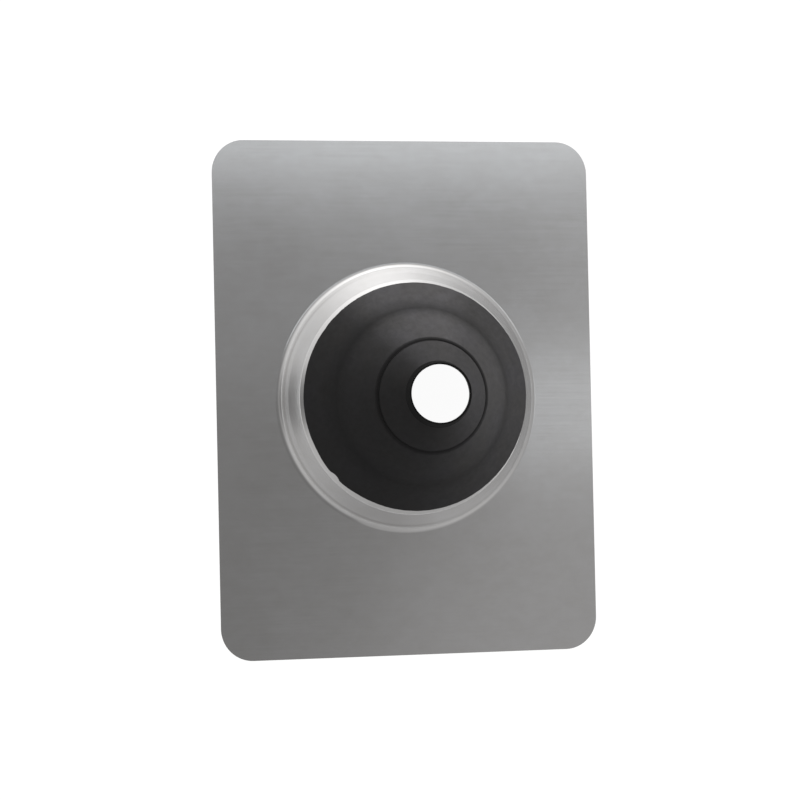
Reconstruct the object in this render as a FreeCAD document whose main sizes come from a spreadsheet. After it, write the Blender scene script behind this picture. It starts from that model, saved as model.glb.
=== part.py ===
import FreeCAD
import Part
import Sketcher
import math
import os

# Solar mount roof flashing: a thin aluminium base sheet with a drawn boss, and a hollow rubber
# collar moulded onto the top of the boss, which seals round the post of a solar mount.
# Millimetres. +Z is up from the roof, +Y is up the slope. The origin is on the axis of the post
# opening, on the underside of the sheet.

# Driving sizes: name, value, what it is. Lengths are in millimetres and angles in degrees.
SIZES = (
    ("plate_width", 228.6, "base sheet, across the slope"),
    ("plate_length", 301.6, "base sheet, up the slope"),
    ("plate_corner", 19.05, "radius of the corners of the base sheet"),
    ("sheet_thickness", 0.6, "aluminium sheet, the same all over"),
    ("draw_margin", 18.0, "flat ring round the boss, from the radius of the seat corner outward"),
    ("seat_radius", 68.45, "corner where the flank of the boss turns into the seat"),
    ("seat_height", 15.7, "height of that corner above the roof"),
    ("seat_width", 7.95, "run of the seat from that corner to its inner edge"),
    ("seat_bend", 4.0, "inner radius of the bend at that corner"),
    ("flank_angle", 62.5, "slope of the flank of the boss"),
    ("band_angle", 57.5, "slope of the flatter band at the foot of the flank"),
    ("band_rise", 6.4, "height of that band"),
    ("band_bend", 9.0, "inner radius of the soft bend between that band and the flank"),
    ("foot_bend", 4.0, "radius of the bend from the flat sheet to the flank, seen from above"),
    ("skirt_angle", 36.5, "slope of the seat and of the skirt of the collar over it"),
    ("bare_seat", 1.65, "run of the seat left bare outside the collar"),
    ("cover_thickness", 0.8, "rubber over the seat"),
    ("under_setback", 2.3, "how far the rubber under the seat stays inside the edge over it"),
    ("collar_wall", 3.4, "wall of the collar, seat included"),
    ("skirt_width", 13.0, "run of the skirt, from the edge of the collar to the shoulder"),
    ("riser_width", 4.0, "run of the steep riser above the shoulder"),
    ("riser_angle", 64.0, "slope of the riser"),
    ("shoulder_bend", 24.0, "radius of the round shoulder below the riser"),
    ("valley_bend", 9.0, "radius of the hollow above the riser"),
    ("cone_angle", 45.5, "slope of the cone between the riser and the ring groove"),
    ("crown_angle", 42.3, "slope of the crown between the ring groove and the lip"),
    ("crown_width", 13.6, "run of the crown"),
    ("groove_width", 2.2, "run of the ring groove between the cone and the crown"),
    ("groove_depth", 1.4, "depth of the ring groove"),
    ("groove_floor", 0.5, "radius of the floor of the ring groove"),
    ("groove_brim", 0.35, "rounding of the edges of the ring groove"),
    ("lip_height", 3.6, "height of the upturned lip above the crown"),
    ("lip_draft", 18.0, "lean of the outside of the lip from upright"),
    ("lip_thickness", 1.0, "lip at its top"),
    ("lip_hollow", 1.2, "radius of the hollow between the crown and the lip"),
    ("lip_round", 0.4, "rounding of the top edges of the lip"),
    ("bore_radius", 16.9, "post opening, free size"),
    ("bore_length", 1.8, "straight part of the post opening, inside the lip"),
    ("bore_round", 0.8, "rounding of the lower edge of that part"),
    ("bore_flare", 3.1, "how much the inside widens from there down to the crown"),
    ("flare_round", 2.0, "rounding where the flare meets the inside of the crown"),
    ("edge_round", 0.35, "rounding of the outer edge of the collar"),
    ("chip_angle", 224.0, "direction of the small chip in the edge of the collar"),
    ("chip_depth", 1.3, "how far the chip goes into the edge"),
    ("chip_radius", 9.0, "radius of the chip"),
)

# Shares of the riser that its two bends may take up, so that both fit when the riser gets short
SHOULDER_SHARE = 0.6
VALLEY_SHARE = 0.25

doc = FreeCAD.newDocument("roof_flashing")
sheet = doc.addObject("Spreadsheet::Sheet", "Sizes")
for row, (name, value, note) in enumerate(SIZES, 1):
    sheet.set(f"A{row}", name)
    sheet.set(f"B{row}", str(value))
    sheet.set(f"C{row}", note)
    sheet.setAlias(f"B{row}", name)
doc.recompute()


def size(expression):
    """Value of an expression of the driving sizes."""
    return float(sheet.evalExpression(expression))


def lower(point, rise, slope):
    """Point further down and outward from a point, on a wall of the given slope."""
    radius, height = point
    return f"{radius} + {rise} / tan({slope})", f"{height} - {rise}"


def inward(point, run, slope):
    """Point further up and inward from a point, on a wall of the given slope."""
    radius, height = point
    return f"{radius} - {run}", f"{height} + {run} * tan({slope})"


def at_radius(point, radius, slope):
    """Point at a given radius on the wall of the given slope that passes through a point."""
    return radius, f"{point[1]} + ({point[0]} - ({radius})) * tan({slope})"


def under(point, slope, next_slope, thickness):
    """Point on the other side of a wall of one thickness, at the bend between two slopes."""
    radius, height = point
    middle = f"({slope} + {next_slope}) / 2"
    half_turn = f"({slope} - {next_slope}) / 2"
    return (
        f"{radius} - {thickness} * sin({middle}) / cos({half_turn})",
        f"{height} - {thickness} * cos({middle}) / cos({half_turn})",
    )


def bent(point, bend):
    """Corner of a section that is rounded to the given radius."""
    return point[0], point[1], bend


def new_sketch(body, name, role):
    """Empty sketch on one of the origin planes of a body."""
    sketch = body.newObject("Sketcher::SketchObject", name)
    plane = [feature for feature in body.Origin.OriginFeatures if feature.Role == role][0]
    sketch.AttachmentSupport = (plane, [""])
    sketch.MapMode = "FlatFace"
    return sketch


def bound(sketch, constraint, expression):
    """Adds a dimension to a sketch and ties it to the driving sizes."""
    index = sketch.addConstraint(constraint)
    sketch.setExpression(f"Constraints[{index}]", expression)


def hold(sketch, geometry, end, radius, height):
    """Holds a point of a sketch at a radius and a height."""
    bound(sketch, Sketcher.Constraint("DistanceX", -1, 1, geometry, end, size(radius)), radius)
    if height == "0":
        sketch.addConstraint(Sketcher.Constraint("PointOnObject", geometry, end, -1))
    else:
        bound(sketch, Sketcher.Constraint("DistanceY", -1, 1, geometry, end, size(height)), height)


def bend_arc(before, corner, after, bend):
    """Arc that rounds a corner, where it starts and ends, and whether it turns to the left."""
    way_in = (corner - before).normalize()
    way_out = (after - corner).normalize()
    left = way_in.cross(way_out).z > 0
    reach = bend * math.tan(way_in.getAngle(way_out) / 2)
    start = corner - way_in * reach
    end = corner + way_out * reach
    side = FreeCAD.Vector(-way_in.y, way_in.x, 0) * (1 if left else -1)
    middle = start + side * bend
    first, last = (start, end) if left else (end, start)
    angles = [math.atan2(place.y - middle.y, place.x - middle.x) for place in (first, last)]
    circle = Part.Circle(middle, FreeCAD.Vector(0, 0, 1), bend)
    return Part.ArcOfCircle(circle, *angles), start, end, left


def section(body, name, corners):
    """Closed section through the axis. Each corner is held at a radius and a height, and a
    corner with a bend gets an arc that touches the lines on both sides."""
    sketch = new_sketch(body, name, "XZ_Plane")
    count = len(corners)
    places = [FreeCAD.Vector(size(corner[0]), size(corner[1]), 0) for corner in corners]
    starts = list(places)
    ends = list(places)
    arcs = {}
    for index, corner in enumerate(corners):
        if len(corner) == 3:
            before = places[index - 1]
            after = places[(index + 1) % count]
            arc, start, end, left = bend_arc(before, places[index], after, size(corner[2]))
            arcs[index] = (arc, left)
            ends[index - 1] = start
            starts[index] = end
        else:
            ends[index - 1] = places[index]
    for start, end in zip(starts, ends):
        sketch.addGeometry(Part.LineSegment(start, end))
    for index, corner in enumerate(corners):
        line_in = (index - 1) % count
        if index not in arcs:
            sketch.addConstraint(Sketcher.Constraint("Coincident", line_in, 2, index, 1))
            hold(sketch, index, 1, corner[0], corner[1])
            continue
        arc, left = arcs[index]
        bend = sketch.addGeometry(arc)
        mark = sketch.addGeometry(Part.Point(places[index]), True)
        hold(sketch, mark, 1, corner[0], corner[1])
        sketch.addConstraint(Sketcher.Constraint("PointOnObject", mark, 1, line_in))
        sketch.addConstraint(Sketcher.Constraint("PointOnObject", mark, 1, index))
        sketch.addConstraint(Sketcher.Constraint("Tangent", line_in, 2, bend, 1 if left else 2))
        sketch.addConstraint(Sketcher.Constraint("Tangent", bend, 2 if left else 1, index, 1))
        bound(sketch, Sketcher.Constraint("Radius", bend, size(corner[2])), corner[2])
    return sketch


def turned(body, name, sketch):
    """Turns a section once round the post axis."""
    feature = body.newObject("PartDesign::Revolution", name)
    feature.Profile = sketch
    feature.ReferenceAxis = (sketch, ["V_Axis"])
    feature.Angle = 360
    doc.recompute()
    return feature


# Corners of the sheet section, from the seat at the top of the boss down to the flat sheet
skirt = "Sizes.skirt_angle"
flank = "Sizes.flank_angle"
band = "Sizes.band_angle"
gauge = "Sizes.sheet_thickness"
seat_corner = ("Sizes.seat_radius", "Sizes.seat_height")
seat_edge = inward(seat_corner, "Sizes.seat_width", skirt)
band_top = lower(seat_corner, f"(Sizes.seat_height - {gauge} - Sizes.band_rise)", flank)
boss_foot = lower(band_top, "Sizes.band_rise", band)
draw_radius = "(Sizes.seat_radius + Sizes.draw_margin)"

# The same corners on the underside of the sheet
seat_corner_under = under(seat_corner, flank, skirt, gauge)
seat_edge_under = at_radius(seat_corner_under, seat_edge[0], skirt)
band_top_under = under(band_top, band, flank, gauge)
boss_foot_under = (under(boss_foot, "0", band, gauge)[0], "0")

# Base sheet: flat blank with round corners, open where the boss is drawn
base = doc.addObject("PartDesign::Body", "aluminium_base")
base.Label = "aluminium_base"
outline = new_sketch(base, "blank_outline", "XY_Plane")
half_width = size("Sizes.plate_width / 2")
half_length = size("Sizes.plate_length / 2")
blank_places = [
    FreeCAD.Vector(-half_width, -half_length, 0),
    FreeCAD.Vector(half_width, -half_length, 0),
    FreeCAD.Vector(half_width, half_length, 0),
    FreeCAD.Vector(-half_width, half_length, 0),
]
for index in range(4):
    outline.addGeometry(Part.LineSegment(blank_places[index], blank_places[(index + 1) % 4]))
for index in range(4):
    outline.addConstraint(Sketcher.Constraint("Coincident", index, 2, (index + 1) % 4, 1))
for index in (0, 2):
    outline.addConstraint(Sketcher.Constraint("Horizontal", index))
for index in (1, 3):
    outline.addConstraint(Sketcher.Constraint("Vertical", index))
outline.addConstraint(Sketcher.Constraint("Symmetric", 0, 1, 2, 1, -1, 1))
bound(outline, Sketcher.Constraint("DistanceX", 0, 1, 0, 2, 2 * half_width), "Sizes.plate_width")
bound(outline, Sketcher.Constraint("DistanceY", 1, 1, 1, 2, 2 * half_length), "Sizes.plate_length")
opening = outline.addGeometry(
    Part.Circle(FreeCAD.Vector(0, 0, 0), FreeCAD.Vector(0, 0, 1), size(draw_radius)))
outline.addConstraint(Sketcher.Constraint("Coincident", opening, 3, -1, 1))
bound(outline, Sketcher.Constraint("Radius", opening, size(draw_radius)), draw_radius)
blank = base.newObject("PartDesign::Pad", "blank")
blank.Profile = outline
blank.setExpression("Length", gauge)
doc.recompute()
upright_edges = [
    f"Edge{index}" for index, edge in enumerate(blank.Shape.Edges, 1)
    if isinstance(edge.Curve, Part.Line) and abs(edge.tangentAt(edge.FirstParameter).z) > 0.9
    and edge.BoundBox.Center.x ** 2 + edge.BoundBox.Center.y ** 2 > half_width ** 2
]
blank_corners = base.newObject("PartDesign::Fillet", "blank_corners")
blank_corners.Base = (blank, upright_edges)
blank_corners.setExpression("Radius", "Sizes.plate_corner")
doc.recompute()

# Boss drawn up out of the blank: a flatter band, the flank, and the seat turned inward at the top.
# The side of the sheet outside a bend is one sheet thickness larger in radius.
boss_section = section(base, "boss_section", [
    (draw_radius, "0"),
    (draw_radius, gauge),
    bent(boss_foot, "Sizes.foot_bend"),
    bent(band_top, "Sizes.band_bend"),
    bent(seat_corner, f"Sizes.seat_bend + {gauge}"),
    seat_edge,
    seat_edge_under,
    bent(seat_corner_under, "Sizes.seat_bend"),
    bent(band_top_under, f"Sizes.band_bend + {gauge}"),
    bent(boss_foot_under, f"Sizes.foot_bend + {gauge}"),
])
turned(base, "boss", boss_section)

# Corners of the collar section, from its edge on the seat up to the lip
riser = "Sizes.riser_angle"
cone = "Sizes.cone_angle"
crown = "Sizes.crown_angle"
wall = "Sizes.collar_wall"
edge_on_seat = inward(seat_corner, "Sizes.bare_seat", skirt)
edge_top = (edge_on_seat[0], f"{edge_on_seat[1]} + Sizes.cover_thickness / cos({skirt})")
shoulder = inward(edge_top, "Sizes.skirt_width", skirt)
valley = inward(shoulder, "Sizes.riser_width", riser)
lip_radius = "(Sizes.bore_radius + Sizes.lip_thickness)"
lip_foot_radius = f"({lip_radius} + Sizes.lip_height * tan(Sizes.lip_draft))"
groove_radius = f"({lip_foot_radius} + Sizes.crown_width)"
groove_top = at_radius(valley, groove_radius, cone)
groove_outer = at_radius(groove_top, f"({groove_radius} + Sizes.groove_width / 2)", cone)
groove_inner = at_radius(groove_top, f"({groove_radius} - Sizes.groove_width / 2)", crown)
groove_floor = under(groove_top, cone, crown, "Sizes.groove_depth")
lip_foot = at_radius(groove_top, lip_foot_radius, crown)
lip_top = (lip_radius, f"{lip_foot[1]} + Sizes.lip_height")
bore_top = ("Sizes.bore_radius", lip_top[1])

# Corners of the inside of the collar, from the post opening down to the rim under the seat
crown_under = under(groove_top, cone, crown, wall)
bore_foot = ("Sizes.bore_radius", f"{lip_top[1]} - Sizes.bore_length")
flare_foot = at_radius(crown_under, "(Sizes.bore_radius + Sizes.bore_flare)", crown)
valley_under = under(valley, riser, cone, wall)
shoulder_under = under(shoulder, skirt, riser, wall)
rim_radius = f"({edge_on_seat[0]} - Sizes.under_setback)"
rim_foot = at_radius(shoulder_under, rim_radius, skirt)
rim_top = at_radius(seat_corner_under, rim_radius, skirt)

# Round shoulder and hollow of the riser, which leave the wall the same inside and out
riser_length = f"Sizes.riser_width / cos({riser})"
shoulder_limit = f"{SHOULDER_SHARE} * {riser_length} / tan(({riser} - {skirt}) / 2)"
valley_limit = f"{VALLEY_SHARE} * {riser_length} / tan(({riser} - {cone}) / 2)"
shoulder_bend = f"min(Sizes.shoulder_bend; {shoulder_limit})"
valley_bend = f"min(Sizes.valley_bend; {valley_limit})"

# Collar: one turned section, with a slot in its rim that the seat of the boss fills
collar = doc.addObject("PartDesign::Body", "rubber_collar")
collar.Label = "rubber_collar"
collar_section = section(collar, "collar_section", [
    edge_on_seat,
    bent(edge_top, "Sizes.edge_round"),
    bent(shoulder, shoulder_bend),
    bent(valley, valley_bend),
    bent(groove_outer, "Sizes.groove_brim"),
    bent(groove_floor, "Sizes.groove_floor"),
    bent(groove_inner, "Sizes.groove_brim"),
    bent(lip_foot, "Sizes.lip_hollow"),
    bent(lip_top, "Sizes.lip_round"),
    bent(bore_top, "Sizes.lip_round"),
    bent(bore_foot, "Sizes.bore_round"),
    bent(flare_foot, "Sizes.flare_round"),
    crown_under,
    bent(valley_under, f"{valley_bend} + {wall}"),
    bent(shoulder_under, f"{shoulder_bend} - {wall}"),
    rim_foot,
    rim_top,
    seat_edge_under,
    seat_edge,
])
turned(collar, "bell", collar_section)

# Small chip out of the edge of the collar, which bares the seat below it
chip = collar.newObject("PartDesign::SubtractiveCylinder", "edge_chip")
chip_middle = f"({edge_on_seat[0]} - Sizes.chip_depth + Sizes.chip_radius)"
chip.Placement = FreeCAD.Placement(
    FreeCAD.Vector(), FreeCAD.Vector(0, 0, 1), size("Sizes.chip_angle"))
chip.setExpression("Radius", "Sizes.chip_radius")
chip.setExpression("Height", "Sizes.seat_height")
chip.setExpression(".Placement.Base.x", f"{chip_middle} * cos(Sizes.chip_angle)")
chip.setExpression(".Placement.Base.y", f"{chip_middle} * sin(Sizes.chip_angle)")
chip.setExpression(".Placement.Base.z", "Sizes.seat_height")
doc.recompute()

# Both pieces stand in the shared frame, one STEP file each
os.makedirs("parts", exist_ok=True)
for item in doc.Objects:
    if "Invalid" in item.State or "Error" in item.State:
        raise RuntimeError(f"{item.Name} failed: {item.State}")
for body in (base, collar):
    body.Placement = FreeCAD.Placement()
    shape = body.Shape
    if shape.isNull() or not shape.isValid() or len(shape.Solids) != 1:
        raise RuntimeError(f"{body.Label} is not one good solid")
    shape.exportStep(f"parts/{body.Label}.step")
    box = shape.optimalBoundingBox()
    print(f"{body.Label}: {box.XLength:.2f} x {box.YLength:.2f} x {box.ZLength:.2f} mm, "
          f"{shape.Volume / 1000:.2f} cm3, {len(shape.Faces)} faces")
for sketch in (outline, boss_section, collar_section):
    print(f"{sketch.Name}: fully constrained {sketch.FullyConstrained}")
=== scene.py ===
# %% [markdown]
# # A roof flashing for the post of a solar mount
# Where a post comes up through a roof, a flashing keeps the rain out. This one has two parts:
# an aluminium sheet with a round boss drawn up in its middle, and a black rubber collar that
# sits in the boss and closes round the post. The CAD model already has the right sizes, so this
# lesson loads it, builds a finer copy of each part in the same place, and gives both their
# real finish. Lengths are written in millimetres and turned to metres by MM.

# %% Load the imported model
import math

import bmesh
import bpy
from mathutils import Matrix, Vector, noise


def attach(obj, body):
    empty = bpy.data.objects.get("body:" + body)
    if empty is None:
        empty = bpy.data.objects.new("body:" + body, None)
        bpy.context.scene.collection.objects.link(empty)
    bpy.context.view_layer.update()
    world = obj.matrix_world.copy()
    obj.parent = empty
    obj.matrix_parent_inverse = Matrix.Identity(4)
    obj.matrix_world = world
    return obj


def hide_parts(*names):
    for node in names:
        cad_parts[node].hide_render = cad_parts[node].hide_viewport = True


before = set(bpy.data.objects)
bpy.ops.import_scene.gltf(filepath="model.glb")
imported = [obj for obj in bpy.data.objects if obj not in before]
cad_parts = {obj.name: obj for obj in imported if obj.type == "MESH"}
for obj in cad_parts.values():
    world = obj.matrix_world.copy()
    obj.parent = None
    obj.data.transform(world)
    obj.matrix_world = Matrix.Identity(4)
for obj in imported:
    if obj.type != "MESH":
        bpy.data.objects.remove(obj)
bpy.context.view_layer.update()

MM = 0.001

# %% [markdown]
# ## Camera
# The part was photographed from above with a long lens, leaning a little to the left. A camera
# could be placed by eye, but here the four corners of the sheet and the round edges of the
# collar gave its lean and distance, so every part falls where the picture has it. The lean is
# three turns, and the lens is moved back from the top of the sheet along them.

# %% Camera
SHEET = 0.6
PICTURE, FOCAL, SENSOR = 800, 3165, 36        # pixels, pixels and millimetres
ROLL, TIP, SIDEWAYS = math.radians(1.23), math.radians(-1.17), math.radians(15.79)
STAND_BACK = Vector((-4.0, -1.4, 1857.0))

lean = (Matrix.Rotation(ROLL, 3, "Z") @ Matrix.Rotation(TIP, 3, "X")
        @ Matrix.Rotation(SIDEWAYS, 3, "Y")).transposed()
lens = bpy.data.cameras.new("long_lens")
lens.sensor_width = SENSOR
lens.lens = SENSOR * FOCAL / PICTURE
camera = bpy.data.objects.new("camera", lens)
bpy.context.scene.collection.objects.link(camera)
stand = lean @ STAND_BACK + Vector((0, 0, SHEET))
camera.matrix_world = Matrix.Translation(stand * MM) @ lean.to_4x4()
bpy.context.scene.camera = camera
print("camera in mm:", [round(c) for c in stand], "lens", round(lens.lens, 1))

# %% [markdown]
# ## Sections with round bends
# Both parts are round about the post, so each starts as a section: a line of corners, each with
# a distance from the axis and a height. Most corners follow from the one before by the slope
# between them: climb goes in and up, descend goes out and down, and behind finds the corner on
# the other face of a wall.

# %% Corners along a slope
def climb(corner, run, slope):
    return corner[0] - run, corner[1] + run * math.tan(math.radians(slope))


def descend(corner, drop, slope):
    return corner[0] + drop / math.tan(math.radians(slope)), corner[1] - drop


def behind(corner, slope, next_slope, wall):
    middle = math.radians(slope + next_slope) / 2
    reach = wall / math.cos(math.radians(slope - next_slope) / 2)
    return corner[0] - reach * math.sin(middle), corner[1] - reach * math.cos(middle)


print("10 mm in at 30 degrees climbs", round(climb((10, 0), 10, 30)[1], 2), "mm")

# %% [markdown]
# Arcs could be worked out point by point, but a bevel on a single vertex of a line rounds that
# corner by itself. It wants the length it may use on each side, which for a bend is its radius
# times the tangent of half the turn. A spin then turns the finished section round the axis.

# %% Draw and turn a section
MERGE = 0.001


def draw_section(bm, corners, step, closed=False):
    points = [bm.verts.new((radius * MM, 0, height * MM)) for (radius, height), bend in corners]
    for start, end in zip(points, points[1:] + points[:1] if closed else points[1:]):
        bm.edges.new((start, end))
    for point, (place, bend) in zip(points, corners):
        if bend:
            before, after = [edge.other_vert(point).co - point.co for edge in point.link_edges]
            turn = math.pi - before.angle(after)
            bmesh.ops.bevel(bm, geom=[point], affect="VERTICES", offset_type="ABSOLUTE",
                            offset=bend * MM * math.tan(turn / 2),
                            segments=max(2, math.ceil(math.degrees(turn) / step)),
                            profile=0.5, material=-1)
    print("section of", len(corners), "corners and", len(bm.verts), "points")


def turn_section(bm, steps):
    bmesh.ops.spin(bm, geom=bm.verts[:] + bm.edges[:], cent=(0, 0, 0), axis=(0, 0, 1),
                   angle=2 * math.pi, steps=steps, use_merge=True)
    bmesh.ops.remove_doubles(bm, verts=bm.verts[:], dist=MERGE * MM)


# %% [markdown]
# ## The base sheet
# The real sheet is one blank of thin aluminium, and a press draws the boss up out of it. The
# boss rises from a round bend in a leaning band, stands a little steeper above a soft ridge, and
# turns inward at a sharp corner to the sloping seat that carries the rubber.

# %% Corners of the boss
SEAT_SLOPE, FLANK_SLOPE, BAND_SLOPE = 36.5, 62.5, 57.5
SEAT_WIDTH, BAND_RISE = 7.95, 6.4
FOOT_BEND, BAND_BEND, SEAT_BEND = 4.0, 9.0, 0.8
PAST_BEND, DRAWN_ROUND = 0.3, 18

seat_corner = (68.45, 15.7)
seat_end = climb(seat_corner, SEAT_WIDTH - SHEET * math.sin(math.radians(SEAT_SLOPE)), SEAT_SLOPE)
band_top = descend(seat_corner, seat_corner[1] - SHEET - BAND_RISE, FLANK_SLOPE)
boss_foot = descend(band_top, BAND_RISE, BAND_SLOPE)
foot_reach = FOOT_BEND * math.tan(math.radians(BAND_SLOPE / 2))
bend_end = (boss_foot[0] + foot_reach + PAST_BEND, SHEET)
draw_edge = (seat_corner[0] + DRAWN_ROUND, SHEET)
print("boss goes flat at radius", round(bend_end[0], 2), "mm")

# %% [markdown]
# A cone set on a plate would show a seam, so the mesh is one skin, as the metal is. The section
# of the boss is turned round the axis, the outline of the blank is a rectangle with bevelled
# corners, and a fill joins the two.

# %% Boss and blank
WIDTH, LENGTH, CORNER, CORNER_STEPS = 228.6, 301.6, 19.05, 20

skin = bmesh.new()
draw_section(skin, [(draw_edge, 0), (bend_end, 0), (boss_foot, FOOT_BEND),
                    (band_top, BAND_BEND), (seat_corner, SEAT_BEND), (seat_end, 0)], step=3)
turn_section(skin, steps=320)
draw_ring = [edge for edge in skin.edges if edge.is_boundary
             and edge.verts[0].co.xy.length > bend_end[0] * MM]
blank = [skin.verts.new((x * WIDTH / 2 * MM, y * LENGTH / 2 * MM, SHEET * MM))
         for x, y in ((1, 1), (-1, 1), (-1, -1), (1, -1))]
for start, end in zip(blank, blank[1:] + blank[:1]):
    skin.edges.new((start, end))
bmesh.ops.bevel(skin, geom=blank, affect="VERTICES", offset_type="ABSOLUTE", offset=CORNER * MM,
                segments=CORNER_STEPS, profile=0.5, material=-1)
outline = [edge for edge in skin.edges if edge.is_wire]
bmesh.ops.triangle_fill(skin, edges=outline + draw_ring, use_beauty=True)
bmesh.ops.recalc_face_normals(skin, faces=skin.faces[:])
print("skin:", len(skin.faces), "faces, top looks up:", skin.faces[-1].normal.z > 0)

# %% [markdown]
# Only now does the skin get its thickness, so that it is the same everywhere, as in a real
# sheet. Solidify pushes a second skin out along the normals, and a negative thickness would
# push it the other way, so the print shows where the underside landed: it has to rest on the
# floor.

# %% Thickness
bmesh.ops.solidify(skin, geom=skin.faces[:], thickness=SHEET * MM)
heights = [point.co.z / MM for point in skin.verts]
print("sheet from", round(min(heights), 3), "to", round(max(heights), 3), "mm high")

# %% [markdown]
# The lines in the metal follow the work done on it. The rolling mill leaves straight lines
# along the width of the blank, and the press leaves rings round the boss. One UV map holds
# both: across the flat it is just the place on the blank, and on the boss it is the way round,
# measured halfway up at 74 mm from the axis, and the way up. The finish can then draw its lines
# along the map, whichever way they run.

# %% Grain map of the sheet
FLAT, RING_RADIUS = 0.9999, 74


def way_round(point, near):
    angle = math.atan2(point.y, point.x)
    return near + (angle - near + math.pi) % (2 * math.pi) - math.pi


grain = skin.loops.layers.uv.new("grain")
for face in skin.faces:
    middle = face.calc_center_median()
    near = math.atan2(middle.y, middle.x)
    for loop in face.loops:
        place = loop.vert.co
        ring_place = (RING_RADIUS * MM * way_round(place, near), place.z - place.xy.length)
        loop[grain].uv = place.xy if abs(face.normal.z) > FLAT else ring_place
print("flat faces:", sum(abs(face.normal.z) > FLAT for face in skin.faces))

# %% [markdown]
# Each finished mesh becomes an object at the origin that rides on the one body and stands for
# its CAD part. Faces are shaded smooth, and only edges that turn sharply stay crisp.

# %% Finish a piece
CREASE = math.radians(40)


def finish_piece(bm, name, node):
    bm.normal_update()
    for edge in bm.edges:
        edge.smooth = edge.calc_face_angle(0) < CREASE
    for face in bm.faces:
        face.smooth = True
    mesh = bpy.data.meshes.new(name)
    bm.to_mesh(mesh)
    bm.free()
    piece = bpy.data.objects.new(name, mesh)
    bpy.context.scene.collection.objects.link(piece)
    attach(piece, "root")
    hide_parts(node)
    print(name, "has", sum(len(face.vertices) - 2 for face in mesh.polygons), "triangles")
    return piece


base_sheet = finish_piece(skin, "base_sheet", "aluminium_base")

# %% [markdown]
# ## The rubber collar
# The collar is moulded in one piece: a thin edge on the seat of the boss, a wide skirt, a steep
# riser, a cone with a cutting groove round it, a crown, and an upturned lip that stretches over
# the post. The corners of the outside come first, from the edge up.

# %% Outside of the collar
RISER_SLOPE, CONE_SLOPE, CROWN_SLOPE, LIP_DRAFT = 64.0, 45.5, 42.3, 18.0
BARE_SEAT, COVER = 1.65, 0.8
SKIRT_WIDTH, RISER_WIDTH, CROWN_WIDTH = 13.0, 4.0, 13.6
BORE, LIP, LIP_HEIGHT = 16.9, 1.0, 3.6

edge_foot = climb(seat_corner, BARE_SEAT, SEAT_SLOPE)
edge_top = (edge_foot[0], edge_foot[1] + COVER / math.cos(math.radians(SEAT_SLOPE)))
shoulder = climb(edge_top, SKIRT_WIDTH, SEAT_SLOPE)
valley = climb(shoulder, RISER_WIDTH, RISER_SLOPE)
groove_radius = BORE + LIP + LIP_HEIGHT * math.tan(math.radians(LIP_DRAFT)) + CROWN_WIDTH
groove = climb(valley, valley[0] - groove_radius, CONE_SLOPE)
lip_foot = climb(groove, CROWN_WIDTH, CROWN_SLOPE)
lip_top = lip_foot[1] + LIP_HEIGHT
print("groove at radius", round(groove_radius, 2), "and lip up to", round(lip_top, 2), "mm")

# %% [markdown]
# The inside follows the outside at the thickness of the wall. Only the lip is thinner: below a
# short straight opening the inside flares out, so that the lip can fold over the post. The rim
# has a slot that the seat of the boss fills.

# %% Inside of the collar
WALL, FLARE, RIM_SETBACK = 3.4, 3.1, 2.3

crown_under = behind(groove, CONE_SLOPE, CROWN_SLOPE, WALL)
flare_foot = climb(crown_under, crown_under[0] - BORE - FLARE, CROWN_SLOPE)
valley_under = behind(valley, RISER_SLOPE, CONE_SLOPE, WALL)
shoulder_under = behind(shoulder, SEAT_SLOPE, RISER_SLOPE, WALL)
rim_radius = edge_foot[0] - RIM_SETBACK
rim_foot = climb(shoulder_under, shoulder_under[0] - rim_radius, SEAT_SLOPE)
seat_under = behind(seat_corner, FLANK_SLOPE, SEAT_SLOPE, SHEET)
slot_top = climb(seat_corner, SEAT_WIDTH, SEAT_SLOPE)
slot_mouth = climb(seat_under, seat_under[0] - rim_radius, SEAT_SLOPE)
slot_under = climb(seat_under, seat_under[0] - slot_top[0], SEAT_SLOPE)
print("rim stands in the boss at radius", round(rim_radius, 2), "mm")

# %% [markdown]
# It is a closed section, so one spin makes the whole solid, inside and out. The bend behind a
# corner is larger or smaller by the wall, as in any moulding of one thickness. Two plain corners
# beside the groove keep the smooth shading of the slopes out of it, and one above the valley
# is for the dust, which grows up to there.

# %% Collar section
EDGE_BEND, SHOULDER_BEND, VALLEY_BEND, PAST_VALLEY = 0.35, 22.4, 20.0, 5.5
GROOVE_HALF, GROOVE_SIDE, GROOVE_DEPTH, GROOVE_BEND = 1.1, 1.7, 1.4, 0.5
BORE_LENGTH, LIP_FOOT_BEND, LIP_EDGE, BORE_BEND, FLARE_BEND = 1.8, 1.2, 0.4, 0.8, 2.0

bell = bmesh.new()
draw_section(bell, [
    (edge_foot, 0), (edge_top, EDGE_BEND), (shoulder, SHOULDER_BEND), (valley, VALLEY_BEND),
    (climb(valley, PAST_VALLEY, CONE_SLOPE), 0), (climb(groove, -GROOVE_SIDE, CONE_SLOPE), 0),
    (climb(groove, -GROOVE_HALF, CONE_SLOPE), EDGE_BEND),
    (behind(groove, CONE_SLOPE, CROWN_SLOPE, GROOVE_DEPTH), GROOVE_BEND),
    (climb(groove, GROOVE_HALF, CROWN_SLOPE), EDGE_BEND),
    (climb(groove, GROOVE_SIDE, CROWN_SLOPE), 0), (lip_foot, LIP_FOOT_BEND),
    ((BORE + LIP, lip_top), LIP_EDGE), ((BORE, lip_top), LIP_EDGE),
    ((BORE, lip_top - BORE_LENGTH), BORE_BEND), (flare_foot, FLARE_BEND), (crown_under, 0),
    (valley_under, VALLEY_BEND + WALL), (shoulder_under, SHOULDER_BEND - WALL), (rim_foot, 0),
    (slot_mouth, 0), (slot_under, 0), (slot_top, 0)], step=6, closed=True)
turn_section(bell, steps=480)
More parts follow.
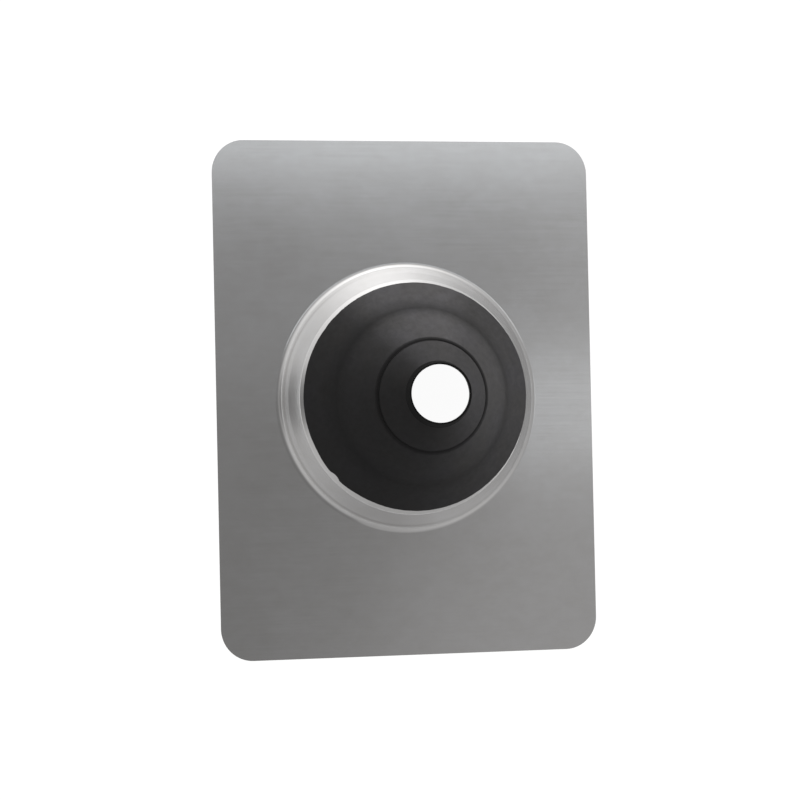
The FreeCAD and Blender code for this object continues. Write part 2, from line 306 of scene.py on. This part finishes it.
bmesh.ops.recalc_face_normals(bell, faces=bell.faces[:])
print("bell:", len(bell.faces), "faces,", round(bell.calc_volume() / MM ** 3 / 1000, 1), "cm3")

# %% [markdown]
# ### Where dust settles, and where light and shade are painted
# Dust and wax settle on the open slopes of the rubber. Less is kept on the steep riser, partly
# real dust and partly painted shade where a steep face gets less light, and none on the lip,
# which stays black, partly as painted shade. The cone below the groove has most of it, and more
# at its upper right, towards the light, which is painted light. The crown has a little less,
# least at its upper left. The ring groove keeps little, which is painted shade in the groove,
# least of all at the upper right, and on the low side the riser keeps more of its share. Shares
# and sides say all that. A share of 1 is the dust of an open slope.

# %% Shares of dust, painted light and painted shade
GENTLE, STEEP = math.cos(math.radians(35)), math.cos(math.radians(75))
ON_CONE, ON_CROWN, GROOVE_SHADE_SHARE = 1.25, 1.05, 0.30
# Painted light: the cone is lighter towards the upper right, where the light comes from.
LIT_SIDE, MORE_TOWARD_LIGHT = Vector((0.707, 0.707)), 0.19
# On the low side the riser keeps more of its share, so its painted slope shade is weaker there.
LOW_SIDE, LOW_SIDE_LIFT = Vector((-0.259, -0.966)), 0.28
# The crown has a little less of its share, least at its upper left.
CROWN_LESS_SIDE, CROWN_LESS = Vector((-0.643, 0.766)), 0.13


def ramp(value, start, end):
    return min(1, max(0, (value - start) / (end - start)))


cone_slope_z = math.cos(math.radians(CONE_SLOPE))
print("share that settles on the cone:", round(ramp(cone_slope_z, STEEP, GENTLE), 2))

# %% [markdown]
# Dust could be painted on by hand, but a rule for each place gives the same result every time. A
# number at each point of the mesh keeps the share of dust and painted shade, and the finish reads
# it later. It is set while the part is still round, because then a distance from the axis tells
# where a point is.

# %% Dust, painted light and painted shade at each point
VALLEY_START, VALLEY_END = valley[0] + 2, valley[0] - 5
# How far from the middle of the groove its painted shade reaches, and where it has faded out.
GROOVE_SHADE_REACH, GROOVE_SHADE_FADE = 0.7, 1.3
# Inside this radius the lip gets no share and stays black, partly as painted shade on its wall.
LIP_BLACK_FROM = lip_foot[0] + 0.2

dust_light_and_shade = bell.verts.layers.float.new("dust_light_and_shade")
bell.normal_update()
for point in bell.verts:
    radius = point.co.xy.length / MM
    outward = point.co.xy.normalized()
    toward_light = LIT_SIDE.dot(outward)
    # Steep faces keep less: partly real dust, partly painted shade where less light falls.
    slope_share = ramp(point.normal.z, STEEP, GENTLE)
    slope_share += LOW_SIDE_LIFT * (1 + LOW_SIDE.dot(outward)) / 2 * (1 - slope_share)
    cone_share = ON_CONE + MORE_TOWARD_LIGHT * toward_light
    crown_share = ON_CROWN - CROWN_LESS * max(0, CROWN_LESS_SIDE.dot(outward))
    # Painted shade in the ring groove: it keeps little of the share, least at the upper right.
    groove_shade_share = GROOVE_SHADE_SHARE * (1 - toward_light)
    place_share = 1 + (cone_share - 1) * ramp(radius, VALLEY_START, VALLEY_END)
    if radius < groove_radius:
        place_share = crown_share
    out_of_groove_shade = ramp(abs(radius - groove_radius), GROOVE_SHADE_REACH, GROOVE_SHADE_FADE)
    place_share *= groove_shade_share + (1 - groove_shade_share) * out_of_groove_shade
    point[dust_light_and_shade] = slope_share * place_share if radius >= LIP_BLACK_FROM else 0
print("points with dust:", sum(point[dust_light_and_shade] > 0 for point in bell.verts), "of", len(bell.verts))

# %% [markdown]
# ### The worn edge
# The thin edge of the collar is soft, so it isn't a perfect circle: it lies a little oval and
# to one side on the seat, up to the corner of the boss at the right, it was trimmed by hand, and
# a small piece is missing at the lower left. Each is a length that the edge moves out or in, as
# the way round it goes. Noise with a fixed pattern gives the hand trimming.

# %% How far the edge moves
OUT, OFF_CENTRE, OFF_AT, OVAL = 0.15, 0.7, math.radians(11), 0.4
LAP, LAP_AT, LAP_SHARP = 0.42, math.radians(12), 6
TRIM, TRIM_WAVES, NICKS, NICK_WAVES = 0.22, 9, 0.16, 47
CHIP_AT, CHIP_DEPTH, CHIP_RADIUS = math.radians(222.8), 0.9, 9.0
TORN_OUT, TORN_REACH = 0.45, 18.0


def edge_shift(angle):
    around = Vector((math.cos(angle), math.sin(angle), 0))
    lies = OUT + OFF_CENTRE * math.cos(angle - OFF_AT) + OVAL * math.cos(2 * angle)
    lies += LAP * max(0, math.cos(angle - LAP_AT)) ** LAP_SHARP
    trimmed = TRIM * abs(noise.noise(around * TRIM_WAVES))
    trimmed += NICKS * abs(noise.noise(around * NICK_WAVES))
    along = edge_foot[0] * (way_round(around, CHIP_AT) - CHIP_AT)
    torn = TORN_OUT * max(0, 1 - (along / TORN_REACH) ** 2)
    chip = math.sqrt(max(0, CHIP_RADIUS ** 2 - along ** 2)) - (CHIP_RADIUS - CHIP_DEPTH)
    edge = lies - trimmed + torn
    return min(edge, -chip) if chip > 0 else edge


print("edge moves", round(edge_shift(0), 2), "mm at the right,", round(edge_shift(CHIP_AT), 2),
      "mm in the chip")

# %% [markdown]
# The edge lies on the sloping seat, so its points slide along that slope.

# %% Worn edge
EDGE_REACH = 0.8
edge_points = [point for point in bell.verts
               if point.co.xy.length > (edge_foot[0] - EDGE_REACH) * MM]
for point in edge_points:
    angle = math.atan2(point.co.y, point.co.x)
    downhill = Vector((math.cos(angle), math.sin(angle), -math.tan(math.radians(SEAT_SLOPE))))
    point.co += downhill * edge_shift(angle) * MM
print("edge points moved:", len(edge_points))

# %% [markdown]
# The bell gives way to the hand too. On this part the cone sags a little down the slope, and the
# lip stands oval and leans to the upper right. Both fade out below, so the rim stays in place.

# %% Leaning lip
SAG, LEAN = Vector((0.10, -0.35, 0)), Vector((0.58, 0.95, 0))
LEAN_FROM = lip_foot[1] - 6
WIDER, NARROWER = 0.020, 0.018


def smooth_ramp(value, start, end):
    share = ramp(value, start, end)
    return share * share * (3 - 2 * share)


for point in bell.verts:
    sagging = smooth_ramp(point.co.z / MM, valley[1], groove[1])
    leaning = smooth_ramp(point.co.z / MM, LEAN_FROM, lip_top)
    point.co.x *= 1 + WIDER * leaning
    point.co.y *= 1 - NARROWER * leaning
    point.co += (SAG * sagging + LEAN * leaning) * MM
collar = finish_piece(bell, "collar", "rubber_collar")

# %% [markdown]
# ## Finishes
# Every finish is a small tree of nodes. One function adds a node, sets it and links it, and
# another turns the usual sRGB hex colours into the linear numbers that the shader wants.

# %% Helpers for finishes
def linear(hex_colour):
    parts = [int(hex_colour[at:at + 2], 16) / 255 for at in (1, 3, 5)]
    return [part / 12.92 if part <= 0.04045 else ((part + 0.055) / 1.055) ** 2.4
            for part in parts] + [1]


def add_node(tree, kind, settings=None, inputs=None):
    node = tree.nodes.new("ShaderNode" + kind)
    for name, value in (settings or {}).items():
        setattr(node, name, value)
    for name, value in (inputs or {}).items():
        if isinstance(value, bpy.types.NodeSocket):
            tree.links.new(value, node.inputs[name])
        else:
            node.inputs[name].default_value = value
    return node


def new_finish(name):
    finish = bpy.data.materials.new(name)
    finish.use_nodes = True
    finish.node_tree.nodes.clear()
    return finish, finish.node_tree


print("middle grey is", round(linear("#808080")[0], 3), "in linear light")

# %% [markdown]
# ### Mill-finish aluminium
# Rolled sheet as it leaves the mill, neither polished nor painted. To the eye it is a soft,
# streaky mirror: the fine rolling lines blur what it reflects across themselves and leave it
# sharper along them. Real lines are under a tenth of a millimetre apart, too fine for the
# picture, so they are drawn 0.9 mm apart. A thin oxide film makes the metal cloudy over some
# 60 mm, and handling leaves smudges about 9 mm wide.

# %% Rolling lines, clouds and smudges
LINE_LENGTH, LINE_SPACING = 60 * MM, 0.9 * MM
CLOUD = 60 * MM
SMUDGE_LENGTH, SMUDGE_WIDTH = 14 * MM, 9 * MM

aluminium, sheet_tree = new_finish("mill_finish_rolled_aluminium")
grain_place = add_node(sheet_tree, "UVMap", {"uv_map": "grain"})
line_place = add_node(sheet_tree, "Mapping",
                      inputs={"Vector": grain_place.outputs["UV"],
                              "Scale": (1 / LINE_LENGTH, 1 / LINE_SPACING, 1)})
lines = add_node(sheet_tree, "TexNoise", {"noise_dimensions": "2D"},
                 {"Vector": line_place.outputs["Vector"], "Scale": 1, "Detail": 3})
sheet_place = add_node(sheet_tree, "TexCoord")
clouds = add_node(sheet_tree, "TexNoise", inputs={"Vector": sheet_place.outputs["Object"],
                                                  "Scale": 1 / CLOUD, "Detail": 4})
smudge_place = add_node(sheet_tree, "Mapping",
                        inputs={"Vector": sheet_place.outputs["Object"],
                                "Scale": (1 / SMUDGE_LENGTH, 1 / SMUDGE_WIDTH, 1 / SMUDGE_WIDTH)})
smudges = add_node(sheet_tree, "TexNoise", inputs={"Vector": smudge_place.outputs["Vector"],
                                                   "Scale": 1, "Detail": 5, "Roughness": 0.7})
print("lines are drawn", round(LINE_SPACING / MM, 1), "mm apart")

# %% [markdown]
# Clouds and smudges together shift the colour between two pale greys, and lines and clouds
# together shift the roughness. Drawing the boss stretches the metal and dulls it a little, so
# some roughness is added above the flat. The lines stand out as a very slight relief too.

# %% Colour and dullness of the sheet
SMUDGED = 0.65
ROLLED_DULL, ROLLED_DULLEST, DRAWN_DULLER = 0.11, 0.15, 0.02
DRAWN_FULLY = 3 * MM

smudged = add_node(sheet_tree, "Mix", {"data_type": "FLOAT"},
                   {0: SMUDGED, 2: clouds.outputs["Fac"], 3: smudges.outputs["Fac"]})
film = add_node(sheet_tree, "Mix", {"data_type": "RGBA"},
                {0: smudged.outputs[0], 6: linear("#DAD9D7"), 7: linear("#EFF0F2")})
streaks = add_node(sheet_tree, "Math", {"operation": "ADD"},
                   {0: lines.outputs["Fac"], 1: clouds.outputs["Fac"]})
rolled = add_node(sheet_tree, "MapRange",
                  inputs={"Value": streaks.outputs["Value"], "From Min": 0.6, "From Max": 1.4,
                          "To Min": ROLLED_DULL, "To Max": ROLLED_DULLEST})
sheet_height = add_node(sheet_tree, "SeparateXYZ",
                        inputs={"Vector": sheet_place.outputs["Object"]})
drawn = add_node(sheet_tree, "MapRange",
                 inputs={"Value": sheet_height.outputs["Z"], "From Min": SHEET * MM,
                         "From Max": DRAWN_FULLY, "To Max": DRAWN_DULLER})
dullness = add_node(sheet_tree, "Math", {"operation": "ADD"},
                    {0: rolled.outputs["Result"], 1: drawn.outputs["Result"]})
relief = add_node(sheet_tree, "Bump", inputs={"Height": lines.outputs["Fac"], "Strength": 0.03,
                                              "Distance": 0.05 * MM})
print("roughness from", ROLLED_DULL, "to", round(ROLLED_DULLEST + DRAWN_DULLER, 2))

# %% [markdown]
# A faint dark ring is painted above the foot of the boss, most of all at the lower left. It is
# painted shade: the darker band that the bend shows there in its reflection is put into the
# colour. The ring is a height, and the side is how far a point lies to the lower left.

# %% Painted dark ring above the foot
DARK_RING_HEIGHT, DARK_RING_REACH = 3.8 * MM, 1.2 * MM
DARK_RING_STRENGTH, LEAST_RING_SHADE = 0.55, 0.15
RING_SHADE_TOWARDS, RING_SHADE_FROM, RING_SHADE_TO = (-0.906, -0.423, 0), -20 * MM, 60 * MM

above_ring = add_node(sheet_tree, "Math", {"operation": "SUBTRACT"},
                     {0: sheet_height.outputs["Z"], 1: DARK_RING_HEIGHT})
from_ring = add_node(sheet_tree, "Math", {"operation": "ABSOLUTE"},
                    {0: above_ring.outputs["Value"]})
painted_ring = add_node(sheet_tree, "MapRange", {"interpolation_type": "SMOOTHSTEP"},
                    {"Value": from_ring.outputs["Value"], "From Max": DARK_RING_REACH,
                     "To Min": DARK_RING_STRENGTH, "To Max": 0})
low_left = add_node(sheet_tree, "VectorMath", {"operation": "DOT_PRODUCT"},
                    {0: sheet_place.outputs["Object"], 1: RING_SHADE_TOWARDS})
ring_shaded_side = add_node(sheet_tree, "MapRange", {"interpolation_type": "SMOOTHSTEP"},
                       {"Value": low_left.outputs["Value"], "From Min": RING_SHADE_FROM,
                        "From Max": RING_SHADE_TO, "To Min": LEAST_RING_SHADE})
painted_ring_shade = add_node(sheet_tree, "Math", {"operation": "MULTIPLY"},
                  {0: painted_ring.outputs["Result"], 1: ring_shaded_side.outputs["Result"]})
# The darker grey is the painted shade of the ring.
with_painted_ring = add_node(sheet_tree, "Mix", {"data_type": "RGBA"},
                  {0: painted_ring_shade.outputs["Value"], 6: film.outputs[2], 7: linear("#BEBDBB")})
print("die mark between", round((DARK_RING_HEIGHT - DARK_RING_REACH) / MM, 1), "and",
      round((DARK_RING_HEIGHT + DARK_RING_REACH) / MM, 1), "mm high")

# %% [markdown]
# The shader is a plain metal. Its highlights are stretched across the lines, so it needs to
# know which way they run, and the tangent of the grain map tells it.

# %% Aluminium
along_lines = add_node(sheet_tree, "Tangent", {"direction_type": "UV_MAP", "uv_map": "grain"})
metal = add_node(sheet_tree, "BsdfPrincipled",
                 inputs={"Base Color": with_painted_ring.outputs[2], "Metallic": 1,
                         "Roughness": dullness.outputs["Value"], "Anisotropic": 0.6,
                         "Anisotropic Rotation": 0.25, "Normal": relief.outputs["Normal"],
                         "Tangent": along_lines.outputs["Tangent"]})
add_node(sheet_tree, "OutputMaterial", inputs={"Surface": metal.outputs["BSDF"]})
base_sheet.data.materials.append(aluminium)
print(aluminium.name, "has", len(sheet_tree.nodes), "nodes")

# %% [markdown]
# ### Moulded rubber
# EPDM rubber from a steel mould. It is nearly black, with a satin skin that has the fine grain
# of the mould, and with time a pale bloom of dust and wax comes up in cloudy patches about
# 25 mm wide, with specks of 4 mm in them. The real grain is about a fifth of a millimetre, so it
# is drawn 0.7 mm wide to show at all.

# %% Grain, bloom and specks
MOULD_GRAIN, BLOOM, SPECK = 0.7 * MM, 25 * MM, 4 * MM

rubber, collar_tree = new_finish("moulded_epdm_rubber")
rubber_place = add_node(collar_tree, "TexCoord")
mould_grain = add_node(collar_tree, "TexNoise", inputs={"Vector": rubber_place.outputs["Object"],
                                                        "Scale": 1 / MOULD_GRAIN, "Detail": 2})
bloom = add_node(collar_tree, "TexNoise",
                 inputs={"Vector": rubber_place.outputs["Object"], "Scale": 1 / BLOOM,
                         "Detail": 6, "Roughness": 0.6})
specks = add_node(collar_tree, "TexNoise",
                  inputs={"Vector": rubber_place.outputs["Object"], "Scale": 1 / SPECK,
                          "Detail": 3, "Roughness": 0.7})
patches = add_node(collar_tree, "MapRange",
                   inputs={"Value": bloom.outputs["Fac"], "From Min": 0.25, "From Max": 0.75,
                           "To Min": 0.82, "To Max": 1.18})
mottle = add_node(collar_tree, "MapRange",
                  inputs={"Value": specks.outputs["Fac"], "From Min": 0.3, "From Max": 0.7,
                          "To Min": 0.88, "To Max": 1.12})
dust_patches = add_node(collar_tree, "Math", {"operation": "MULTIPLY"},
                        {0: patches.outputs["Result"], 1: mottle.outputs["Result"]})
print("mould grain is drawn", round(MOULD_GRAIN / MM, 1), "mm wide")

# %% [markdown]
# How much of the dust shows depends on the side, and this is painted light and shade: the
# right and upper side, towards the light, is painted lighter, and the lower left darker. The way
# out from the axis, flattened and made one unit long, tells how far a point faces that side. A
# second, narrower side straight up is painted lighter still, and more so further out.

# %% Painted light on the sides of the collar
LIGHT_FROM_RIGHT, LIGHT_FROM_TOP = (0.86, 0.51, 0), (-0.052, 0.999, 0)
SHADED_SIDE_SHARE, LIT_SIDE_SHARE, MORE_PER_METRE = 0.155, 0.58, 7.0

way_out = add_node(collar_tree, "VectorMath", {"operation": "MULTIPLY"},
                   {0: rubber_place.outputs["Object"], 1: (1, 1, 0)})
faces_out = add_node(collar_tree, "VectorMath", {"operation": "NORMALIZE"},
                     {0: way_out.outputs["Vector"]})
faces_right = add_node(collar_tree, "VectorMath", {"operation": "DOT_PRODUCT"},
                       {0: faces_out.outputs["Vector"], 1: LIGHT_FROM_RIGHT})
right_painted_light = add_node(collar_tree, "MapRange", {"interpolation_type": "SMOOTHSTEP"},
                      {"Value": faces_right.outputs["Value"], "From Min": -0.9,
                       "From Max": 0.98, "To Min": SHADED_SIDE_SHARE, "To Max": LIT_SIDE_SHARE})
faces_top = add_node(collar_tree, "VectorMath", {"operation": "DOT_PRODUCT"},
                     {0: faces_out.outputs["Vector"], 1: LIGHT_FROM_TOP})
top_painted_light = add_node(collar_tree, "MapRange", {"interpolation_type": "SMOOTHSTEP"},
                    {"Value": faces_top.outputs["Value"], "From Min": 0.75,
                     "To Max": MORE_PER_METRE})
far_out = add_node(collar_tree, "VectorMath", {"operation": "LENGTH"},
                   {0: way_out.outputs["Vector"]})
painted_light_share = add_node(collar_tree, "Math", {"operation": "MULTIPLY_ADD"},
                      {0: top_painted_light.outputs["Result"], 1: far_out.outputs["Value"],
                       2: right_painted_light.outputs["Result"]})
# The side share runs from the shaded lower left to the lit upper right: painted light.
print("dust covers from", SHADED_SIDE_SHARE, "to", LIT_SIDE_SHARE, "of an open slope")

# %% [markdown]
# The share kept at each point of the mesh, which holds dust and painted shade, the side, which
# is painted light, and the patches multiply to how much of the black is covered. The dust is a
# mid grey, a little warmer or cooler from patch to patch.

# %% Dust, painted light and painted shade on the black
point_share = add_node(collar_tree, "Attribute", {"attribute_name": "dust_light_and_shade"})
light_and_point_share = add_node(collar_tree, "Math", {"operation": "MULTIPLY"},
                      {0: painted_light_share.outputs["Value"], 1: point_share.outputs["Fac"]})
covered_share = add_node(collar_tree, "Math", {"operation": "MULTIPLY", "use_clamp": True},
                      {0: light_and_point_share.outputs["Value"], 1: dust_patches.outputs["Value"]})
dust_tint = add_node(collar_tree, "Mix", {"data_type": "RGBA"},
                     {0: bloom.outputs["Fac"], 6: linear("#767470"), 7: linear("#727279")})
# The colour of the rubber: dust on black, with painted light and painted shade in it.
dust_light_and_shade_colour = add_node(collar_tree, "Mix", {"data_type": "RGBA"},
                 {0: covered_share.outputs["Value"], 6: linear("#121212"), 7: dust_tint.outputs[2]})
print("clean rubber reflects", round(linear("#121212")[0], 4), "of the light")

# %% [markdown]
# The skin is satin, a little duller where the bloom is thick, and its fine grain breaks up the
# highlights. An aged, dusty skin mirrors little, so the specular level is low.

# %% Rubber
satin = add_node(collar_tree, "MapRange",
                 inputs={"Value": bloom.outputs["Fac"], "From Min": 0.3, "From Max": 0.7,
                         "To Min": 0.5, "To Max": 0.65})
grain_relief = add_node(collar_tree, "Bump", inputs={"Height": mould_grain.outputs["Fac"],
                                                     "Strength": 0.25, "Distance": 0.1 * MM})
rubber_skin = add_node(collar_tree, "BsdfPrincipled",
                       inputs={"Base Color": dust_light_and_shade_colour.outputs[2],
                               "Roughness": satin.outputs["Result"],
                               "Specular IOR Level": 0.15,
                               "Normal": grain_relief.outputs["Normal"]})
add_node(collar_tree, "OutputMaterial", inputs={"Surface": rubber_skin.outputs["BSDF"]})
collar.data.materials.append(rubber)
print(rubber.name, "has", len(collar_tree.nodes), "nodes")

# %% [markdown]
# ## Floor and light
# The sheet lies on a white studio floor. To the camera, and in the metal, the floor shines a
# little by itself, so that it reads as white paper, and on top of that it takes the light of
# the lamps, so that the part keeps its shadow. Floor and lamps are written in metres.

# %% Floor
FLOOR_REACH, PAPER_GLOW = 6, 0.95

floor_mesh = bpy.data.meshes.new("floor")
sheet_of_paper = bmesh.new()
bmesh.ops.create_grid(sheet_of_paper, x_segments=1, y_segments=1, size=FLOOR_REACH)
sheet_of_paper.to_mesh(floor_mesh)
sheet_of_paper.free()
floor = bpy.data.objects.new("floor", floor_mesh)
bpy.context.scene.collection.objects.link(floor)

paper, floor_tree = new_finish("white_paper")
ray = add_node(floor_tree, "LightPath")
seen = add_node(floor_tree, "Math", {"operation": "ADD"},
                {0: ray.outputs["Is Camera Ray"], 1: ray.outputs["Is Glossy Ray"]})
seen_or_through = add_node(floor_tree, "Math", {"operation": "ADD", "use_clamp": True},
                           {0: seen.outputs["Value"], 1: ray.outputs["Is Transmission Ray"]})
glow = add_node(floor_tree, "Math", {"operation": "MULTIPLY"},
                {0: seen_or_through.outputs["Value"], 1: PAPER_GLOW})
surface = add_node(floor_tree, "BsdfPrincipled",
                   inputs={"Base Color": linear("#808080"), "Roughness": 0.9,
                           "Emission Color": (1, 1, 1, 1),
                           "Emission Strength": glow.outputs["Value"]})
add_node(floor_tree, "OutputMaterial", inputs={"Surface": surface.outputs["BSDF"]})
floor_mesh.materials.append(paper)
print("floor reaches", FLOOR_REACH, "m and glows", PAPER_GLOW)

# %% [markdown]
# A metal part shows its surroundings, so light for metal is a matter of what stands where.
# Panels overhead brighten the top of the sheet, and a small one the middle of its right side.
# They hang at slightly different heights, because of two panels in one plane only one is seen,
# and a panel that isn't turned shines straight down.

# %% Panels overhead
PANEL_WHITE = (0.94, 0.97, 1.0)


def softbox(name, place, wide, deep, brightness):
    lamp = bpy.data.lights.new(name, "AREA")
    lamp.shape = "RECTANGLE"
    lamp.size = wide
    lamp.size_y = deep
    lamp.energy = brightness * math.pi * wide * deep
    lamp.color = PANEL_WHITE
    holder = bpy.data.objects.new(name, lamp)
    bpy.context.scene.collection.objects.link(holder)
    holder.location = place
    print(name, "shines", round(lamp.energy, 3), "W")


softbox("softbox_over", place=(0.35, 0.335, 1.2), wide=1.3, deep=0.17, brightness=0.54)
softbox("softbox_over_wide", place=(0.35, 0.33, 1.22), wide=1.3, deep=0.60, brightness=0.05)
softbox("softbox_over_middle", place=(0.36, 0.28, 1.18), wide=0.28, deep=0.24, brightness=0.05)
softbox("softbox_patch", place=(0.56, 0.01, 1.0), wide=0.38, deep=0.09, brightness=0.3)

# %% [markdown]
# The room does the rest. It is a plain grey, lighter towards the horizon, and the right half of
# its ceiling is a little lighter too. The direction of a ray and its height tell where in the
# room it ends.

# %% Walls and ceiling of the room
WALL_GREY, CEILING_GREY, CEILING_FROM, CEILING_TO = 0.40, 0.19, 0.5, 0.95
RIGHT_HALF, RIGHT_FROM, RIGHT_TO, RIGHT_LIGHTER = (0.9, -0.43, 0), 0.235, 0.290, 0.155

room = bpy.data.worlds.new("room")
room.use_nodes = True
room_tree = room.node_tree
room_tree.nodes.clear()
direction = add_node(room_tree, "TexCoord")
height = add_node(room_tree, "SeparateXYZ", inputs={"Vector": direction.outputs["Generated"]})
level = add_node(room_tree, "MapRange", {"interpolation_type": "SMOOTHSTEP"},
                 {"Value": height.outputs["Z"], "From Min": CEILING_FROM, "From Max": CEILING_TO,
                  "To Min": WALL_GREY, "To Max": CEILING_GREY}).outputs["Result"]
towards_right = add_node(room_tree, "VectorMath", {"operation": "DOT_PRODUCT"},
                         {0: direction.outputs["Generated"], 1: RIGHT_HALF})
right = add_node(room_tree, "MapRange", {"interpolation_type": "SMOOTHSTEP"},
                 {"Value": towards_right.outputs["Value"], "From Min": RIGHT_FROM,
                  "From Max": RIGHT_TO})
overhead = add_node(room_tree, "MapRange", {"interpolation_type": "SMOOTHSTEP"},
                    {"Value": height.outputs["Z"], "From Min": 0.6, "From Max": 0.9,
                     "To Max": RIGHT_LIGHTER})
level = add_node(room_tree, "Math", {"operation": "MULTIPLY_ADD"},
                 {0: right.outputs["Result"], 1: overhead.outputs["Result"],
                  2: level}).outputs["Value"]
print("room from", CEILING_GREY, "overhead to", WALL_GREY, "at the horizon")

# %% [markdown]
# A large window beyond the top edge makes the bright crescent on the boss, with a fainter one
# to the left of it, pale walls at both lower corners, and a dark gap at the left. Each is a
# glow, or a dimming for the gap, that fades towards its rim, because a window with a hard edge
# would show as a hard line in the metal.

# %% Windows of the room
def add_glow(below, name, aim, rim, sharp, brightness):
    towards = add_node(room_tree, "VectorMath", {"operation": "DOT_PRODUCT", "label": name},
                       {0: direction.outputs["Generated"], 1: aim})
    inside = add_node(room_tree, "MapRange", inputs={"Value": towards.outputs["Value"],
                                                     "From Min": rim})
    fall = add_node(room_tree, "Math", {"operation": "POWER"},
                    {0: inside.outputs["Result"], 1: sharp})
    return add_node(room_tree, "Math", {"operation": "MULTIPLY_ADD"},
                    {0: fall.outputs["Value"], 1: brightness, 2: below}).outputs["Value"]


level = add_glow(level, "window", (0.123, 0.874, 0.469), rim=0.35, sharp=4, brightness=1.05)
level = add_glow(level, "side window", (-0.683, 0.683, 0.259), rim=0.3, sharp=3, brightness=0.34)
level = add_glow(level, "wall", (0.600, -0.550, 0.580), rim=0.8, sharp=2, brightness=0.14)
level = add_glow(level, "left wall", (-0.744, -0.565, 0.350), rim=0.6, sharp=3, brightness=0.13)
level = add_glow(level, "gap", (-0.905, 0.020, 0.420), rim=0.93, sharp=1, brightness=-0.30)
walls = add_node(room_tree, "Background", inputs={"Color": (1.0, 0.985, 0.975, 1),
                                                  "Strength": level})
add_node(room_tree, "OutputWorld", inputs={"Surface": walls.outputs["Background"]})
bpy.context.scene.world = room
print(room.name, "has", len(room_tree.nodes), "nodes")

# %% [markdown]
# ## Finish
# The picture uses the Standard view transform.

# %% Finish
bpy.context.scene.view_settings.view_transform = "Standard"
